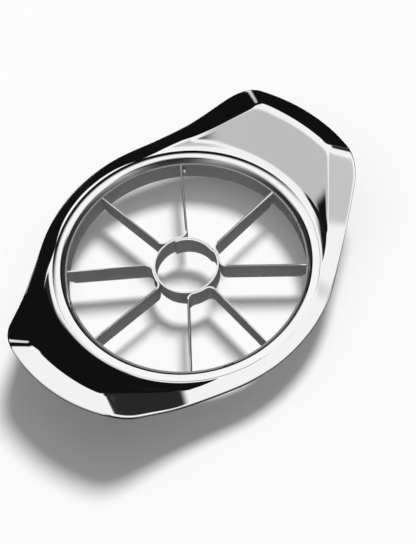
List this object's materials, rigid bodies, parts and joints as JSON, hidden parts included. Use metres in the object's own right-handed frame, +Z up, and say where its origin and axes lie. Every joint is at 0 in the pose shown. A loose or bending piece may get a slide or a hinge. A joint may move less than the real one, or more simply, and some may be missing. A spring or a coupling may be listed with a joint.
{
  "type": "apple slicer and wedger",
  "caption": "Round apple slicer with a polished frame, raised wing handles and a cage of radial blades round a core ring, pushed down by hand.",
  "frame": {"origin": "on the ring axis at the height of the blades' lower edges, which is the middle of the underside", "axes": "+Z up along the ring axis, +X and -X towards the two handles' ends, +Y and -Y towards the long sides"},
  "size_m": [0.1632, 0.1196, 0.0261],
  "materials": {
    "polished_frame": "polished",
    "cage_steel": "satin",
    "blade_steel": "satin",
    "screw_steel": "satin"
  },
  "bodies": {
    "root": {"frame": "polished_frame", "outer_band": "cage_steel", "core_ring": "cage_steel", "blade_pair_1": "blade_steel", "blade_pair_2": "blade_steel", "blade_pair_3": "blade_steel", "blade_pair_4": "blade_steel", "ear_screws": "screw_steel"}
  },
  "joints": []
}
